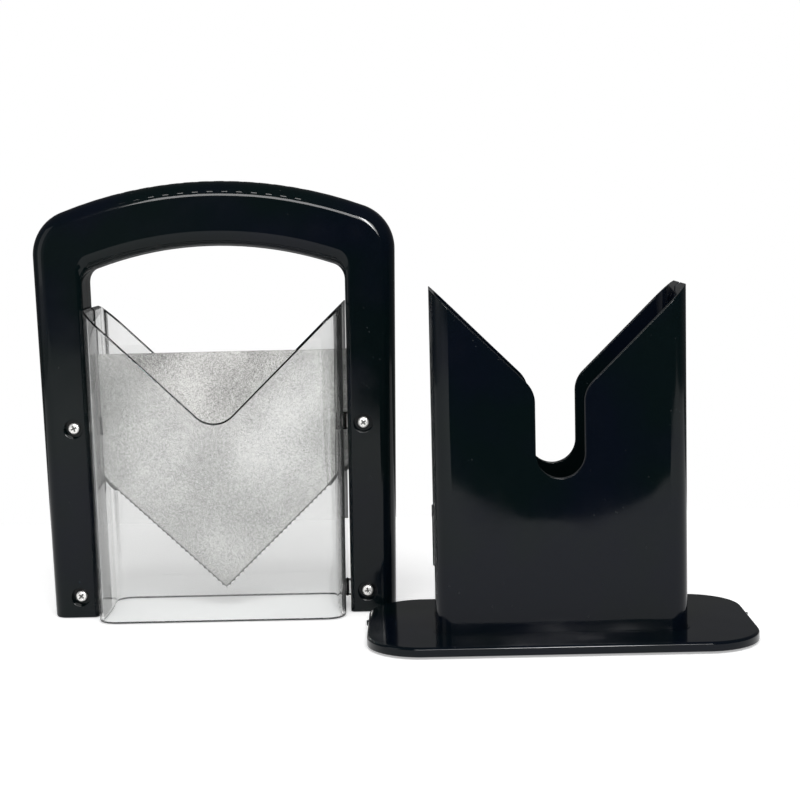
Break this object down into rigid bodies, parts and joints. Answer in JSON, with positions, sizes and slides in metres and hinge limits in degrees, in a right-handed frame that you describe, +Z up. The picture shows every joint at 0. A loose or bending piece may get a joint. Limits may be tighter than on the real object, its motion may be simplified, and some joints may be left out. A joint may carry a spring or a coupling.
{
  "type": "bagel guillotine",
  "caption": "Bagel slicer whose arched handle carries a V-shaped blade in a clear guard that drops over a slotted holder on a flat base.",
  "frame": {"origin": "on the table, under the middle of the space that the two halves take side by side", "axes": "+X from the handle half to the base half, along the broad faces; +Y from the front to the back; +Z up"},
  "size_m": [0.362, 0.1418, 0.227],
  "materials": {
    "gloss_black": "glossy moulded black plastic with soft edge highlights",
    "clear_guard": "clear glossy moulded plastic, darker where seen edge on",
    "blade_steel": "bead-blasted speckled grey steel",
    "screw_nickel": "bright nickel plate",
    "cradle_black": "satin moulded black plastic",
    "foot_rubber": "matt black rubber"
  },
  "bodies": {
    "base": {"base_plate": "gloss_black", "holder": "gloss_black", "bagel_cradle": "cradle_black", "holder_screw_front_left": "screw_nickel", "holder_screw_front_right": "screw_nickel", "holder_screw_rear_left": "screw_nickel", "holder_screw_rear_right": "screw_nickel", "foot_front_left": "foot_rubber", "foot_front_right": "foot_rubber", "foot_rear_left": "foot_rubber", "foot_rear_right": "foot_rubber"},
    "handle": {"handle_front_shell": "gloss_black", "handle_rear_shell": "gloss_black", "guard": "clear_guard", "blade": "blade_steel", "leg_screw_upper_left": "screw_nickel", "leg_screw_upper_right": "screw_nickel", "leg_screw_lower_left": "screw_nickel", "leg_screw_lower_right": "screw_nickel"}
  },
  "joints": [
    {"name": "handle_lift", "type": "slide", "parent": "base", "child": "handle", "axis": [0, 0, 1], "range_m": [0, 0.19]}
  ]
}
